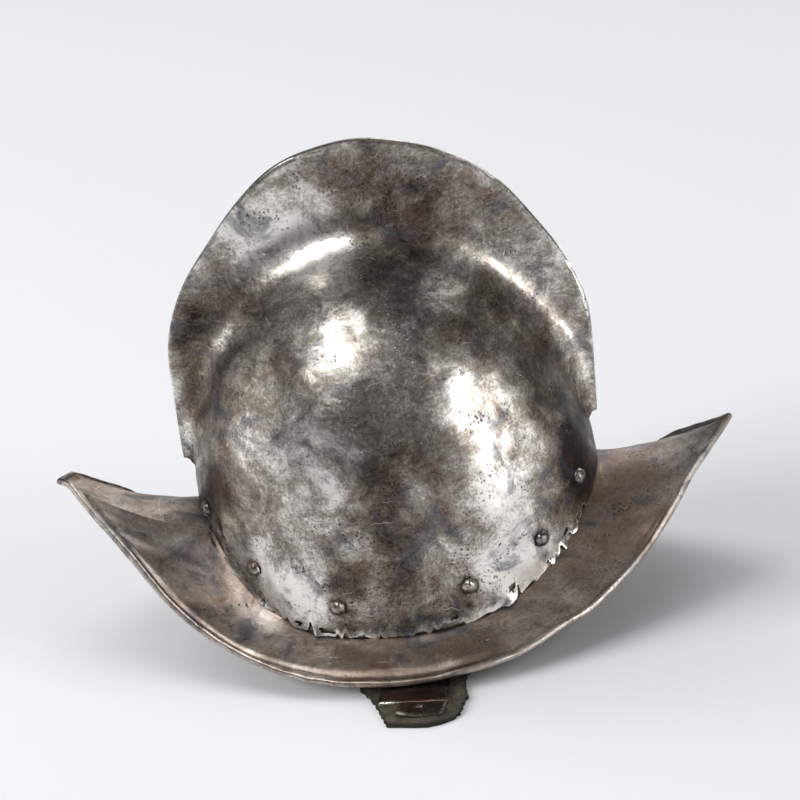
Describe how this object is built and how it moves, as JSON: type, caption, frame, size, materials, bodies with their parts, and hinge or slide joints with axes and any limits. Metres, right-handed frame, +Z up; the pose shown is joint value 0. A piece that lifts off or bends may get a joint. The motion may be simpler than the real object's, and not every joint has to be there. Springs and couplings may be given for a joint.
{
  "type": "comb morion helmet",
  "caption": "Comb morion: a steel bowl raised with a tall comb, on a boat-shaped brim pointed at both ends, with rivets and two folded-out cheek-pieces.",
  "frame": {"origin": "on the ground, under the middle of the overall box", "axes": "+X to the front of the helmet, +Y to the wearer's left, +Z up"},
  "size_m": [0.3624, 0.3016, 0.2629],
  "materials": {
    "skull_steel": "hammered and worn steel, half polished, with brown patina, blue-black stains and pits",
    "brim_steel": "browner steel, worn smooth, with a dark rolled edge",
    "rivet_steel": "domed rivet heads, rubbed bright on top and dark round the foot",
    "flap_cloth": "dark green wool cloth on leather, frayed and worn at its cut edges",
    "lame_steel": "brown-black steel with bright worn edges"
  },
  "bodies": {
    "root": {"skull": "skull_steel", "brim": "brim_steel", "cheek_flap_right": "flap_cloth", "upper_lame_right": "lame_steel", "lower_lame_right": "lame_steel", "lame_rivet_right": "rivet_steel", "rivet_right_1": "rivet_steel", "rivet_right_2": "rivet_steel", "rivet_right_3": "rivet_steel", "rivet_right_4": "rivet_steel", "rivet_right_5": "rivet_steel", "rivet_right_6": "rivet_steel", "cheek_flap_left": "flap_cloth", "upper_lame_left": "lame_steel", "lower_lame_left": "lame_steel", "lame_rivet_left": "rivet_steel", "rivet_left_1": "rivet_steel", "rivet_left_2": "rivet_steel", "rivet_left_3": "rivet_steel", "rivet_left_4": "rivet_steel", "rivet_left_5": "rivet_steel", "rivet_left_6": "rivet_steel"}
  },
  "joints": []
}
